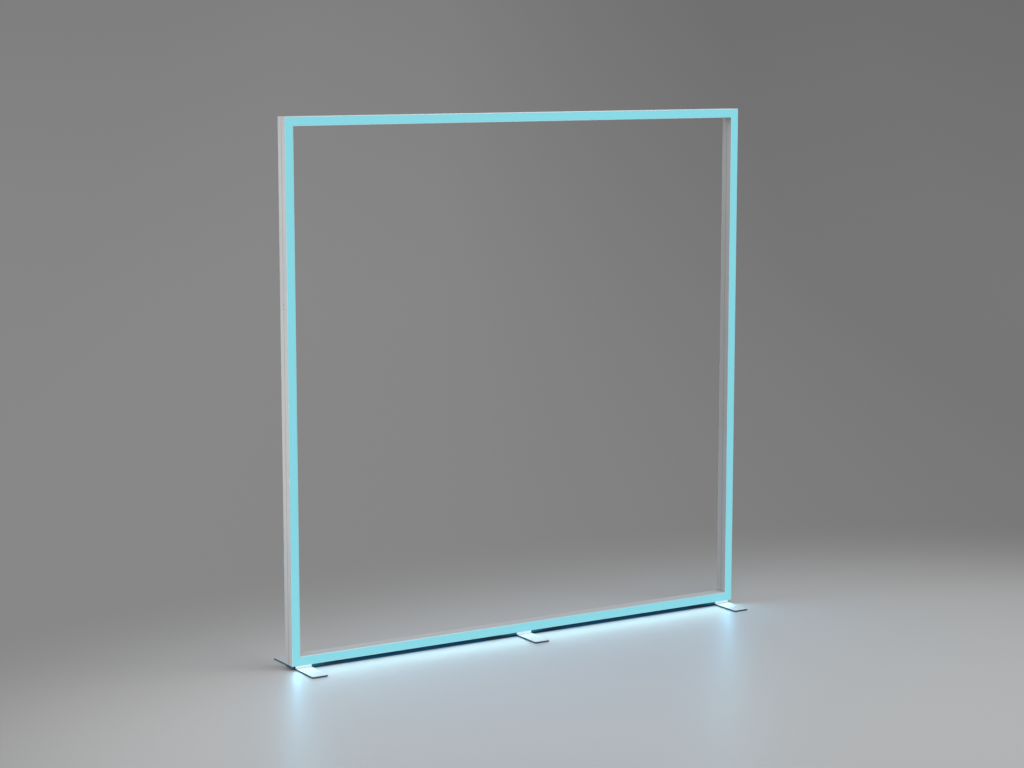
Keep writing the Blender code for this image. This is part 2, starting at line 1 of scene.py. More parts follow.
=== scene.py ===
import math

import bmesh
import bpy
from mathutils import Matrix, Vector


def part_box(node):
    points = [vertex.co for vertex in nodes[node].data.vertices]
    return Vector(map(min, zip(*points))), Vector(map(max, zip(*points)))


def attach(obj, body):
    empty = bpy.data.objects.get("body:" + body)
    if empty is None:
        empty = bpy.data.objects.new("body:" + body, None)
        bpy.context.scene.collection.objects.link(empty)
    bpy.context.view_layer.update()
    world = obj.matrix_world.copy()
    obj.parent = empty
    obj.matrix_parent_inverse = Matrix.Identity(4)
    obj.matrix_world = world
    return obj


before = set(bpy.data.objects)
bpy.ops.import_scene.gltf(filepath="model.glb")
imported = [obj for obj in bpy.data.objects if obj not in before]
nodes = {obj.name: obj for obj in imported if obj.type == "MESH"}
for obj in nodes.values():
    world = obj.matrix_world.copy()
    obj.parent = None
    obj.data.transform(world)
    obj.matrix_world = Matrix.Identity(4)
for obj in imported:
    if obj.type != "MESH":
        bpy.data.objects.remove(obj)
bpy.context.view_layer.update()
print("frame loaded:", len(nodes), "pieces")

millimetre = 0.001


# An sRGB hex value as the linear colour that a node takes
def linearColour(hexText):
    channels = [int(hexText[i:i + 2], 16) / 255 for i in (1, 3, 5)]
    return [c / 12.92 if c <= 0.04045 else ((c + 0.055) / 1.055) ** 2.4 for c in channels] + [1]


# A node with its settings, its sockets' values and its links. A ramp also takes its shades, as pairs of
# a position and an sRGB hex value.
def addNode(tree, kind, values=None, links=None, shades=(), **settings):
    node = tree.nodes.new(kind)
    for name, setting in settings.items():
        setattr(node, name, setting)
    for socket, value in (values or {}).items():
        node.inputs[socket].default_value = value
    for socket, source in (links or {}).items():
        tree.links.new(source, node.inputs[socket])
    for number, (position, hexText) in enumerate(shades):
        elements = node.color_ramp.elements
        element = elements[number] if number < len(elements) else elements.new(position)
        element.position = position
        element.color = linearColour(hexText)
    return node


# A new material with its tree, its shader and the object's own coordinates in metres
def startMaterial(name, shaderValues):
    material = bpy.data.materials.new(name)
    material.use_nodes = True
    tree = material.node_tree
    shader = tree.nodes["Principled BSDF"]
    for socket, value in shaderValues.items():
        shader.inputs[socket].default_value = value
    place = addNode(tree, "ShaderNodeTexCoord").outputs["Object"]
    return material, tree, shader, place


# Gives CAD pieces their material
def dress(material, *names):
    for name in names:
        mesh = nodes[name].data
        mesh.materials.clear()
        mesh.materials.append(material)


# Camera, fitted to the edges of the frame in the photograph
cameraView = {
    "place": (-5.788, -9.327, 2.828),  # metres from the middle of the frame's foot
    "turn": 31.604,                    # degrees from straight on, towards the right
    "tilt": 8.294,                     # degrees down
    "lens": 81.46,                     # millimetres
    "sensor": 36,                      # millimetres wide
    "reach": 100,                      # metres, as far as it sees
}


def makeCamera():
    lens = bpy.data.cameras.new("camera")
    lens.lens = cameraView["lens"]
    lens.sensor_width = cameraView["sensor"]
    lens.clip_end = cameraView["reach"]
    camera = bpy.data.objects.new("camera", lens)
    camera.location = cameraView["place"]
    camera.rotation_euler = (
        math.radians(90 - cameraView["tilt"]), 0, -math.radians(cameraView["turn"]))
    bpy.context.scene.collection.objects.link(camera)
    bpy.context.scene.camera = camera


makeCamera()
bpy.context.scene.view_settings.view_transform = "Standard"
print("camera placed")


# Turns a finished bmesh into an object of the scene
def linkPiece(name, bm, material):
    mesh = bpy.data.meshes.new(name)
    bm.to_mesh(mesh)
    bm.free()
    mesh.materials.append(material)
    piece = bpy.data.objects.new(name, mesh)
    bpy.context.scene.collection.objects.link(piece)
    return piece


# Studio: a floor of pale grey paper that curves up gently all round, and soft lamps
studio = {
    "paper": "#acacac",
    "paperRoughness": 0.45,
    "fibres": 2.5,             # millimetres; real ones are finer, and these are as fine as shows
    "fibreRelief": 0.02,
    "fibreDepth": 0.2,         # millimetres
    "floorRadius": 14.0,       # metres of flat paper round the object
    "sweepRadius": 26.0,       # metres, of the curve that rises beyond it
    "paperHeight": 7.0,
    "sweepSteps": 20,
    "sweepSegments": 96,
    "poolCentre": (0.3, -3.5, 0),    # metres; the paper is light here, in front of the object
    "poolEdge": (3.4, 5.6),          # metres from there, where it starts and ends turning darker
    "toneAxis": (0.866, -0.5, 0),    # the way that the darker tone changes in
    "toneSpan": (-7.19, 8.56),       # metres that way, from the first tone to the last
    "tones": (
        "#868686", "#868686", "#888888", "#868686", "#7d7d7d", "#767676", "#777777", "#757575"),
    "toneHeight": 3.0,               # metres up; there the paper has only toneShare of its tone
    "toneShare": 0.9,
    # A painted shadow, deep blue, on the paper under the bottom rail: its colour, place, soft edge and
    # lower specular
    "railPaintedShadow": "#0e6480",          # deep blue shade on the paper under the rail, as in the photograph
    "railPaintedShadowY": (-37, 6),          # millimetres from the middle of the wall's depth
    "railPaintedShadowX": (-1205, 1205),
    "railPaintedShadowSoft": 8,
    "railPaintedShadowGloss": (0.5, 0.08),   # Specular IOR Level on the open floor and in that painted shadow
    "world": "#808080",
    "worldStrength": 0.9,
}

# The lamps: places and sizes in metres, power in watts, spread in degrees. The camera sees none.
lamps = {
    "overhead": {            # the pool of light in front of the wall, and most of the light on it
        "place": (1.2, -3.0, 6.5), "aim": (0.4, -1.4, 0), "size": (5, 4), "power": 462,
        "colour": "#ffffff", "spread": 180},
    "leftSoftbox": {         # the outer face of the left post
        "place": (-3.9, 0.7, 1.6), "aim": (-1.25, 0.2, 1.15), "size": (1.6, 2.4), "power": 11.5,
        "colour": "#ffffff", "spread": 80},
    "sideStrip": {           # the same face from behind, in three parts to light its whole height
        "place": (-2.2, 2.0, 0.9), "aim": (-1.25, 0, 0.85), "size": (0.5, 1.7), "power": 0.56,
        "colour": "#ffffff", "spread": 60},
    "sideStripTop": {
        "place": (-2.2, 2.0, 2.6), "aim": (-1.25, 0, 2.6), "size": (0.5, 1.5), "power": 0.85,
        "colour": "#ffffff", "spread": 60},
    "sideStripFoot": {
        "place": (-2.2, 2.0, 0.4), "aim": (-1.25, 0, 0.15), "size": (0.5, 0.6), "power": 0.15,
        "colour": "#d0ecff", "spread": 30},
    "postWash": {            # the upper part of the right post's inner face
        "place": (-1.2, 1.4, 3.4), "aim": (1.2, 0, 2.2), "size": (0.6, 0.6), "power": 0.42,
        "colour": "#ffffff", "spread": 32},
    "floorFill": {           # the floor left of the wall
        "place": (-3.2, -1.8, 3.4), "aim": (-2.5, -0.3, 0), "size": (1.5, 1.5), "power": 13,
        "colour": "#ffffff", "spread": 90},
    "bandSpill": {           # the wide cool cast that the lit band throws forwards
        "place": (0, -0.06, 1.27), "aim": (0, -1.0, 1.27), "size": (2.4, 2.4), "power": 6,
        "colour": "#40b4ff", "spread": 180},
    "floorTint": {           # the same cast on the floor under and behind the rail
        "place": (0.3, 0.1, 0.9), "aim": (0.3, 0.1, 0), "size": (3.0, 0.8), "power": 1.7,
        "colour": "#20bcff", "spread": 150},
    "gapSpill": {            # the bluer light close to the gap under the rail
        "place": (0, -0.046, 0.018), "aim": (0, -0.046, 0), "size": (2.36, 0.012), "power": 0.14,
        "colour": "#0c94d0", "spread": 150},
}


# Satin backdrop paper: a faint fibre mottle, smooth enough to smear the light band into streaks. It is
# graduated: away from the pool of light it turns to flat tones, which the camera and the metal see.
def satinPaper():
    material, tree, shader, place = startMaterial("satinPaper", {"Roughness": studio["paperRoughness"]})
    grain = addNode(tree, "ShaderNodeTexNoise", {
        "Scale": 1 / (studio["fibres"] * millimetre), "Detail": 4}, {"Vector": place})
    bump = addNode(tree, "ShaderNodeBump", {
        "Strength": studio["fibreRelief"], "Distance": studio["fibreDepth"] * millimetre},
        {"Height": grain.outputs["Fac"]})
    tree.links.new(bump.outputs["Normal"], shader.inputs["Normal"])
    axes = addNode(tree, "ShaderNodeSeparateXYZ", links={"Vector": place})
    # Painted shadow: a deep blue patch painted on the paper under the bottom rail, with less specular
    # in it
    shaded = None
    for axis, ends in (("X", studio["railPaintedShadowX"]), ("Y", studio["railPaintedShadowY"])):
        middle, half = sum(ends) / 2 * millimetre, (ends[1] - ends[0]) / 2 * millimetre
        offset = addNode(tree, "ShaderNodeMath", {1: middle}, {0: axes.outputs[axis]},
                         operation="SUBTRACT")
        distance = addNode(tree, "ShaderNodeMath", links={0: offset.outputs[0]}, operation="ABSOLUTE")
        within = addNode(tree, "ShaderNodeMapRange", {
            "From Min": half, "From Max": half - studio["railPaintedShadowSoft"] * millimetre},
            {"Value": distance.outputs[0]}, interpolation_type="SMOOTHSTEP").outputs["Result"]
        shaded = within if shaded is None else addNode(
            tree, "ShaderNodeMath", links={0: shaded, 1: within}, operation="MULTIPLY").outputs[0]
    paintedShadowMix = addNode(tree, "ShaderNodeMix", {
        "A": linearColour(studio["paper"]), "B": linearColour(studio["railPaintedShadow"])},
        {"Factor": shaded}, data_type="RGBA")
    tree.links.new(paintedShadowMix.outputs["Result"], shader.inputs["Base Color"])
    gloss = addNode(tree, "ShaderNodeMapRange", {
        "To Min": studio["railPaintedShadowGloss"][0], "To Max": studio["railPaintedShadowGloss"][1]},
        {"Value": shaded})
    tree.links.new(gloss.outputs["Result"], shader.inputs["Specular IOR Level"])
    along = addNode(tree, "ShaderNodeVectorMath", {1: studio["toneAxis"]}, {0: place},
                    operation="DOT_PRODUCT")
    side = addNode(tree, "ShaderNodeMapRange", {
        "From Min": studio["toneSpan"][0], "From Max": studio["toneSpan"][1]},
        {"Value": along.outputs["Value"]})
    lastTone = len(studio["tones"]) - 1
    tone = addNode(tree, "ShaderNodeValToRGB", links={"Fac": side.outputs["Result"]}, shades=[
        (number / lastTone, hexText) for number, hexText in enumerate(studio["tones"])])
    height = addNode(tree, "ShaderNodeMapRange", {
        "From Max": studio["toneHeight"], "To Min": 1, "To Max": studio["toneShare"]},
        {"Value": axes.outputs["Z"]}, clamp=False)
    flatTone = addNode(tree, "ShaderNodeEmission", links={
        "Color": tone.outputs["Color"], "Strength": height.outputs["Result"]})
    away = addNode(tree, "ShaderNodeVectorMath", {1: studio["poolCentre"]}, {0: place},
                   operation="DISTANCE")
    fade = addNode(tree, "ShaderNodeMapRange", {
        "From Min": studio["poolEdge"][0], "From Max": studio["poolEdge"][1]},
        {"Value": away.outputs["Value"]}, interpolation_type="SMOOTHSTEP")
    ray = addNode(tree, "ShaderNodeLightPath")
    seen = addNode(tree, "ShaderNodeMath", links={
        0: ray.outputs["Is Camera Ray"], 1: ray.outputs["Is Glossy Ray"]}, operation="MAXIMUM")
    share = addNode(tree, "ShaderNodeMath", links={
        0: seen.outputs[0], 1: fade.outputs["Result"]}, operation="MULTIPLY")
    mix = addNode(tree, "ShaderNodeMixShader", links={
        0: share.outputs[0], 1: shader.outputs["BSDF"], 2: flatTone.outputs["Emission"]})
    tree.links.new(mix.outputs["Shader"], tree.nodes["Material Output"].inputs["Surface"])
    return material


def makePaper():
    flat, radius = studio["floorRadius"], studio["sweepRadius"]
    steepest = math.acos(1 - studio["paperHeight"] / radius)
    bm = bmesh.new()
    profile = [bm.verts.new((0, 0, 0)), bm.verts.new((flat, 0, 0))]
    for step in range(1, studio["sweepSteps"] + 1):
        angle = step / studio["sweepSteps"] * steepest
        profile.append(bm.verts.new((
            flat + radius * math.sin(angle), 0, radius * (1 - math.cos(angle)))))
    edges = [bm.edges.new(pair) for pair in zip(profile, profile[1:])]
    bmesh.ops.spin(bm, geom=profile + edges, axis=(0, 0, 1), angle=2 * math.pi,
                   steps=studio["sweepSegments"], use_merge=True)
    bmesh.ops.remove_doubles(bm, verts=bm.verts, dist=millimetre)
    for face in bm.faces:
        face.smooth = True
    paper = linkPiece("studioPaper", bm, satinPaper())


def makeLamp(name, lamp):
    light = bpy.data.lights.new(name, "AREA")
    light.shape = "RECTANGLE"
    light.size, light.size_y = lamp["size"]
    light.energy = lamp["power"]
    light.spread = math.radians(lamp["spread"])
    light.color = linearColour(lamp["colour"])[:3]
    holder = bpy.data.objects.new(name, light)
    holder.location = lamp["place"]
    aim = Vector(lamp["aim"]) - Vector(lamp["place"])
    holder.rotation_euler = aim.to_track_quat("-Z", "Y").to_euler()
    holder.visible_camera = False
    bpy.context.scene.collection.objects.link(holder)


def makeWorld():
    world = bpy.data.worlds.new("studioAir")
    world.use_nodes = True
    air = world.node_tree.nodes["Background"]
    air.inputs["Color"].default_value = linearColour(studio["world"])
    air.inputs["Strength"].default_value = studio["worldStrength"]
    bpy.context.scene.world = world


makePaper()
makeWorld()
for name, lamp in lamps.items():
    makeLamp(name, lamp)
print("studio lit")

# The glow that the band throws on the floor and feet: a thin lamp just in front of each diffuser
glow = {
    "colours": {"left": "#7dd6ff", "right": "#7dd6ff", "top": "#7dd6ff", "bottom": "#bcf2ff"},
    "wattsPerMetre": {"left": 0.88, "right": 0.96, "top": 0.2, "bottom": 0.56},
    "spread": 165,        # degrees, so that the floor close to the rail isn't burnt out
    "width": 36 * millimetre,
    "inFront": 1.5 * millimetre,
}


def makeGlow(side):
    low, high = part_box("diffuser_" + side)
    middle = (Vector(low) + Vector(high)) / 2
    size = Vector(high) - Vector(low)
    length = max(size.x, size.z)
    upright = size.z > size.x
    makeLamp("glow_" + side, {
        "place": (middle.x, low[1] - glow["inFront"], middle.z),
        "aim": (middle.x, low[1] - 1, middle.z),
        "size": (glow["width"], length) if upright else (length, glow["width"]),
        "power": glow["wattsPerMetre"][side] * length, "colour": glow["colours"][side],
        "spread": glow["spread"]})


for side in glow["colours"]:
    makeGlow(side)
print("band glow added")

# Anodised aluminium: extruded, then etched and anodised, so it is satin with faint lines from the die.
# The oxide skin scatters part of the light, so it looks less like a bare metal. A painted shade darkens
# the middle line of each post, and a painted glow stands for the lit diffuser's light on the lips.
anodised = {
    "colour": "#d0d1d2",
    "lineColour": "#c5c7c8",
    "metallic": 0.45,
    "roughness": 0.45,
    "lineWidth": 1.6,     # millimetres; real die lines are finer, and these are as fine as shows
    "lineLength": 700,
    "lineRange": (0.35, 0.65),    # of the noise, where a line is darkest and where it ends
    "lineRelief": 0.15,
    "lineDepth": 0.05,    # millimetres
    "mottle": 60,         # millimetres
    "mottleShare": 0.35,          # of the change in sheen, which the die lines make the rest of
    "sheenRange": (0.3, 0.9),
    "sheen": (-0.05, 0.07),       # how far the roughness goes down and up
    "paintedGrooveShade": "#95989a",
    "grooveHalf": (0.9, 1.9),     # millimetres from the middle, full painted shade and none; the posts' only
    # Painted glow: an emission in the band's colour on the lips, and a faint one on the side faces near
    # the front
    "paintedSpill": "#40d2e6",
    "lipPaintedSpill": 0.44,
    "sidePaintedSpill": 0.02,
    "lipPlace": (-34.4, -34.9),   # millimetres from the middle of the depth, none and full
    "paintedSpillPlace": (-4, -35),
}


def anodisedAluminium(name, along):
    material, tree, shader, place = startMaterial(name, {
        "Metallic": anodised["metallic"], "Emission Color": linearColour(anodised["paintedSpill"])})
    across = 1 / (anodised["lineWidth"] * millimetre)
    down = 1 / (anodised["lineLength"] * millimetre)
    stretch = [across, across, across]
    stretch["XYZ".index(along)] = down
    lines = addNode(tree, "ShaderNodeMapping", {"Scale": stretch}, {"Vector": place})
    dieLines = addNode(tree, "ShaderNodeTexNoise", {"Scale": 1, "Detail": 3, "Roughness": 0.6},
                       {"Vector": lines.outputs["Vector"]})
    mottle = addNode(tree, "ShaderNodeTexNoise",
                     {"Scale": 1 / (anodised["mottle"] * millimetre), "Detail": 2}, {"Vector": place})
    blend = addNode(tree, "ShaderNodeMath", {1: anodised["mottleShare"]}, {0: mottle.outputs["Fac"]},
                    operation="MULTIPLY")
    mixed = addNode(tree, "ShaderNodeMath", {2: 1 - anodised["mottleShare"]},
                    {0: dieLines.outputs["Fac"], 1: blend.outputs[0]}, operation="MULTIPLY_ADD")
    colour = addNode(tree, "ShaderNodeValToRGB", links={"Fac": dieLines.outputs["Fac"]}, shades=zip(
        anodised["lineRange"], (anodised["lineColour"], anodised["colour"]))).outputs["Color"]
    axes = addNode(tree, "ShaderNodeSeparateXYZ", links={"Vector": place})
    # Painted shade: a darker line down the middle of each post's side faces, in the outer groove and on
    # the inner face
    if along == "Z":
        fromMiddle = addNode(tree, "ShaderNodeMath", links={0: axes.outputs["Y"]}, operation="ABSOLUTE")
        dustAndPaintedShade = addNode(tree, "ShaderNodeMapRange", {
            "From Min": anodised["grooveHalf"][0] * millimetre,
            "From Max": anodised["grooveHalf"][1] * millimetre, "To Min": 1, "To Max": 0},
            {"Value": fromMiddle.outputs[0]}, interpolation_type="SMOOTHSTEP")
        colour = addNode(tree, "ShaderNodeMix", {"B": linearColour(anodised["paintedGrooveShade"])}, {
            "A": colour, "Factor": dustAndPaintedShade.outputs["Result"]}, data_type="RGBA").outputs["Result"]
    tree.links.new(colour, shader.inputs["Base Color"])
    satin = addNode(tree, "ShaderNodeMapRange", {
        "From Min": anodised["sheenRange"][0], "From Max": anodised["sheenRange"][1],
        "To Min": anodised["roughness"] + anodised["sheen"][0],
        "To Max": anodised["roughness"] + anodised["sheen"][1]}, {"Value": mixed.outputs[0]})
    tree.links.new(satin.outputs["Result"], shader.inputs["Roughness"])
    bump = addNode(tree, "ShaderNodeBump", {
        "Strength": anodised["lineRelief"], "Distance": anodised["lineDepth"] * millimetre},
        {"Height": dieLines.outputs["Fac"]})
    tree.links.new(bump.outputs["Normal"], shader.inputs["Normal"])
    # Painted glow, strongest on the lips beside the diffuser
    lips = addNode(tree, "ShaderNodeMapRange", {
        "From Min": anodised["lipPlace"][0] * millimetre,
        "From Max": anodised["lipPlace"][1] * millimetre, "To Max": anodised["lipPaintedSpill"]},
        {"Value": axes.outputs["Y"]})
    sides = addNode(tree, "ShaderNodeMapRange", {
        "From Min": anodised["paintedSpillPlace"][0] * millimetre,
        "From Max": anodised["paintedSpillPlace"][1] * millimetre, "To Max": anodised["sidePaintedSpill"]},
        {"Value": axes.outputs["Y"]}, interpolation_type="SMOOTHSTEP")
    paintedSpill = addNode(tree, "ShaderNodeMath", links={
        0: lips.outputs["Result"], 1: sides.outputs["Result"]}, operation="ADD")
    tree.links.new(paintedSpill.outputs[0], shader.inputs["Emission Strength"])
    return material


uprightProfile = anodisedAluminium("anodisedAluminiumUpright", "Z")
levelProfile = anodisedAluminium("anodisedAluminiumLevel", "X")
dress(uprightProfile, "post_left_lower", "post_left_upper", "post_right_lower", "post_right_upper")
dress(levelProfile, "rail_top_left", "rail_top_right", "rail_bottom_left", "rail_bottom_right")

# Opal acrylic: extruded with a matt face, lit from behind, so it glows evenly with no hot spots
opal = {
    "colour": "#335c65",
    "glow": ((0, "#80ccd7"), (0.06, "#80ccd7"), (0.3, "#7dc9d4"), (1, "#7dc9d4")),   # by height
    "height": 2.5,        # metres
    "glowStrength": 1.0,
    "roughness": 0.5,
    "sheen": 0.08,        # how far the roughness goes down and up
    "grain": 0.8,         # millimetres
    "relief": 0.1,
    "depth": 0.03,        # millimetres
}


def opalAcrylic():
    material, tree, shader, place = startMaterial("opalAcrylic", {
        "Base Color": linearColour(opal["colour"]), "IOR": 1.49,
        "Emission Strength": opal["glowStrength"]})
    axes = addNode(tree, "ShaderNodeSeparateXYZ", links={"Vector": place})
    height = addNode(tree, "ShaderNodeMapRange", {"From Max": opal["height"]},
                     {"Value": axes.outputs["Z"]})
    lit = addNode(tree, "ShaderNodeValToRGB", links={"Fac": height.outputs["Result"]},
                  shades=opal["glow"])
    tree.links.new(lit.outputs["Color"], shader.inputs["Emission Color"])
    grain = addNode(tree, "ShaderNodeTexNoise", {
        "Scale": 1 / (opal["grain"] * millimetre), "Detail": 2}, {"Vector": place})
    matt = addNode(tree, "ShaderNodeMapRange", {
        "To Min": opal["roughness"] - opal["sheen"], "To Max": opal["roughness"] + opal["sheen"]},
        {"Value": grain.outputs["Fac"]})
    tree.links.new(matt.outputs["Result"], shader.inputs["Roughness"])
    bump = addNode(tree, "ShaderNodeBump", {
        "Strength": opal["relief"], "Distance": opal["depth"] * millimetre},
        {"Height": grain.outputs["Fac"]})
    tree.links.new(bump.outputs["Normal"], shader.inputs["Normal"])
    return material


dress(opalAcrylic(), "diffuser_left", "diffuser_top", "diffuser_right", "diffuser_bottom")

# Powder-coated steel: sprayed and baked in a silvery grey, with a soft orange-peel skin. The upright
# edges all round carry a painted shade, tinted deep blue like the band's light.
powder = {
    "colour": "#b8b9b8",
    "dustAndPaintedShade": "#aeafae",
    "edge": "#0c506c",
    "edgeTilt": (0.6, 0.75),   # the normal's upward part, from all painted edge shade to none
    "rearPaintedShade": "#a5a9ab",     # painted shade on the rear end, behind the wall
    "rearPlace": (35, 60),     # millimetres behind the middle of the wall, none and full
    "roughness": 0.5,
    "sheen": (0.1, -0.06),     # what the roughness gains where it is scuffed, and where it isn't
    "peel": 1.8,               # millimetres between ripples
    "peelRelief": 0.25,
    "peelDepth": 0.08,         # millimetres
    "scuff": 45,               # millimetres
    "dustRange": (0.3, 0.55),        # of the noise, dusty and clean
    "scuffRange": (0.3, 0.7),
}


def powderCoatedSteel():
    material, tree, shader, place = startMaterial("powderCoatedSteel", {"IOR": 1.5})
    peel = addNode(tree, "ShaderNodeTexNoise", {
        "Scale": 1 / (powder["peel"] * millimetre), "Detail": 1}, {"Vector": place})
    scuff = addNode(tree, "ShaderNodeTexNoise", {
        "Scale": 1 / (powder["scuff"] * millimetre), "Detail": 6, "Roughness": 0.7}, {"Vector": place})
    shades = addNode(tree, "ShaderNodeValToRGB", links={"Fac": scuff.outputs["Fac"]},
                     shades=zip(powder["dustRange"], (powder["dustAndPaintedShade"], powder["colour"])))
    facing = addNode(tree, "ShaderNodeTexCoord").outputs["Normal"]
    upward = addNode(tree, "ShaderNodeSeparateXYZ", links={"Vector": facing})
    top = addNode(tree, "ShaderNodeMapRange", {
        "From Min": powder["edgeTilt"][0], "From Max": powder["edgeTilt"][1]},
        {"Value": upward.outputs["Z"]})
    axes = addNode(tree, "ShaderNodeSeparateXYZ", links={"Vector": place})
    rear = addNode(tree, "ShaderNodeMapRange", {
        "From Min": powder["rearPlace"][0] * millimetre,
        "From Max": powder["rearPlace"][1] * millimetre},
        {"Value": axes.outputs["Y"]}, interpolation_type="SMOOTHSTEP")
    # Painted shade: the rear end of each plate is darker
    rearShaded = addNode(tree, "ShaderNodeMix", {"B": linearColour(powder["rearPaintedShade"])}, {
        "A": shades.outputs["Color"], "Factor": rear.outputs["Result"]}, data_type="RGBA")
    # Painted shade: the upright edges take the deep blue edge colour
    edgeShaded = addNode(tree, "ShaderNodeMix", {"A": linearColour(powder["edge"])}, {
        "B": rearShaded.outputs["Result"], "Factor": top.outputs["Result"]}, data_type="RGBA")
    tree.links.new(edgeShaded.outputs["Result"], shader.inputs["Base Color"])
    satin = addNode(tree, "ShaderNodeMapRange", {
        "From Min": powder["scuffRange"][0], "From Max": powder["scuffRange"][1],
        "To Min": powder["roughness"] + powder["sheen"][0],
        "To Max": powder["roughness"] + powder["sheen"][1]}, {"Value": scuff.outputs["Fac"]})
    tree.links.new(satin.outputs["Result"], shader.inputs["Roughness"])
    bump = addNode(tree, "ShaderNodeBump", {
        "Strength": powder["peelRelief"], "Distance": powder["peelDepth"] * millimetre},
        {"Height": peel.outputs["Fac"]})
    tree.links.new(bump.outputs["Normal"], shader.inputs["Normal"])
    return material


dress(powderCoatedSteel(), "foot_plate_left", "foot_plate_middle", "foot_plate_right")
print("frame and feet dressed")


# Most of the small pieces have one colour with a fine grain of its own size, seen as a soft sparkle.
# The grain and the clouds in the colour are in millimetres, and so is the depth of the grain.
cloudRange = (0.3, 0.7)       # of the noise, where a cloud is darkest and where it ends


def grainedMaterial(name, finish, shaderValues):
    material, tree, shader, place = startMaterial(name, shaderValues)
    grain = addNode(tree, "ShaderNodeTexNoise", {
        "Scale": 1 / (finish["grain"] * millimetre), "Detail": 3}, {"Vector": place})
    cloud = addNode(tree, "ShaderNodeTexNoise", {
        "Scale": 1 / (finish["cloud"] * millimetre), "Detail": 4, "Roughness": 0.65}, {"Vector": place})
    shades = addNode(tree, "ShaderNodeValToRGB", links={"Fac": cloud.outputs["Fac"]},
                     shades=zip(cloudRange, (finish["shade"], finish["colour"])))
    tree.links.new(shades.outputs["Color"], shader.inputs["Base Color"])
    rough = addNode(tree, "ShaderNodeMapRange", {
        "From Min": cloudRange[0], "From Max": cloudRange[1],
        "To Min": finish["roughness"] - finish["sheenRange"],
        "To Max": finish["roughness"] + finish["sheenRange"]}, {"Value": cloud.outputs["Fac"]})
    tree.links.new(rough.outputs["Result"], shader.inputs["Roughness"])
    bump = addNode(tree, "ShaderNodeBump", {
        "Strength": finish["relief"], "Distance": finish["depth"] * millimetre},
        {"Height": grain.outputs["Fac"]})
    tree.links.new(bump.outputs["Normal"], shader.inputs["Normal"])
    return material


# Painted glow: emission at a piece's far ends, or at one end, along one axis of its own box
def addPaintedGlow(material, axis, centre, reach, colour, strength):
    tree = material.node_tree
    shader = tree.nodes["Principled BSDF"]
    own = addNode(tree, "ShaderNodeSeparateXYZ", links={
        "Vector": addNode(tree, "ShaderNodeTexCoord").outputs["Generated"]})
    offset = addNode(tree, "ShaderNodeMath", {1: centre}, {0: own.outputs[axis]}, operation="SUBTRACT")
    away = addNode(tree, "ShaderNodeMath", links={0: offset.outputs[0]}, operation="ABSOLUTE")
    lit = addNode(tree, "ShaderNodeMapRange", {
        "From Min": reach[0], "From Max": reach[1], "To Max": strength},
        {"Value": away.outputs[0]}, interpolation_type="SMOOTHSTEP")
    tree.links.new(lit.outputs["Result"], shader.inputs["Emission Strength"])
    shader.inputs["Emission Color"].default_value = linearColour(colour)
    return material


# Nitrile rubber sheet under each foot: calendered, dull and almost black, with a cloth imprint
nitrile = {"colour": "#26282a", "shade": "#1c1d1f", "roughness": 0.82, "sheenRange": 0.06,
           "grain": 0.9, "cloud": 14, "relief": 0.4, "depth": 0.12}
dress(grainedMaterial("nitrileRubber", nitrile, {"IOR": 1.52}),
      "foot_pad_left", "foot_pad_middle", "foot_pad_right")

# EPDM rubber, extruded and dusted with talc: matt, with no highlight. Its deep petrol blue is painted
# shade, tinted like the band's light.
shadeRubberFinish = {"colour": "#064f6b", "shade": "#05455d", "roughness": 0.9, "sheenRange": 0.06,
                "grain": 0.9, "cloud": 14, "relief": 0.3, "depth": 0.1}
# Painted glow at the ends of each strip, in place of the band's light thrown back by the pale foot
# plates
shadeStripPaintedGlow = {"axis": "X", "centre": 0.5, "reach": (0.4, 0.5), "colour": "#1a8fae", "strength": 0.4}
shadeStripRubber = addPaintedGlow(grainedMaterial("paintedShadeRubber", shadeRubberFinish, {
    "IOR": 1.52, "Specular IOR Level": 0.25}), **shadeStripPaintedGlow)

# Painted shade: ribbed rubber strips under the bottom rail, dark pieces put in the gap where there is
# only shade. Near the feet their lower edge rises above the plates, which turn under it.
shadeStrip = {
    "setBack": 5.0,       # millimetres behind the front of the rail
    "thickness": 4.0,
    "footClearance": 0.8,
    "floorClearance": 1.2,
    "endGap": 0.6,
    "turnRoom": 3.0,      # round the circle that a foot's corners turn in
    "rise": 14.0,         # length of the slope where the strip's lower edge rises
    "riseSteps": 8,
    "ribs": 3,
    "ribDepth": 0.5,
    "ribShares": (0.45, 0.6, 0.85),   # of the way from one rib to the next, the groove's corners
    "tipRound": 0.8,
    "tipShare": 0.3,      # of the tip's rounding, where its middle point is
    "joint": 0.1,         # under the rail, so that the two don't share a face
}


# Section of a strip, from front to back and up: ribs on both sides, and a rounded lower end
def shadeStripSection(frontY, low, high):
    thick, rib, tip = [shadeStrip[key] * millimetre for key in ("thickness", "ribDepth", "tipRound")]
    pitch = (high - low - tip) / shadeStrip["ribs"]
    ribEnd, grooveStart, grooveEnd = shadeStrip["ribShares"]
    tipSlope = tip * shadeStrip["tipShare"]
    frontSide = [(frontY + tip, low), (frontY + tipSlope, low + tipSlope), (frontY, low + tip)]
    for number in range(shadeStrip["ribs"]):
        base = low + tip + number * pitch
        frontSide.append((frontY, base + pitch * ribEnd))
        frontSide.append((frontY + rib, base + pitch * grooveStart))
        frontSide.append((frontY + rib, base + pitch * grooveEnd))
        frontSide.append((frontY, base + pitch))
    backSide = [(2 * frontY + thick - y, z) for y, z in reversed(frontSide)]
    return frontSide + backSide


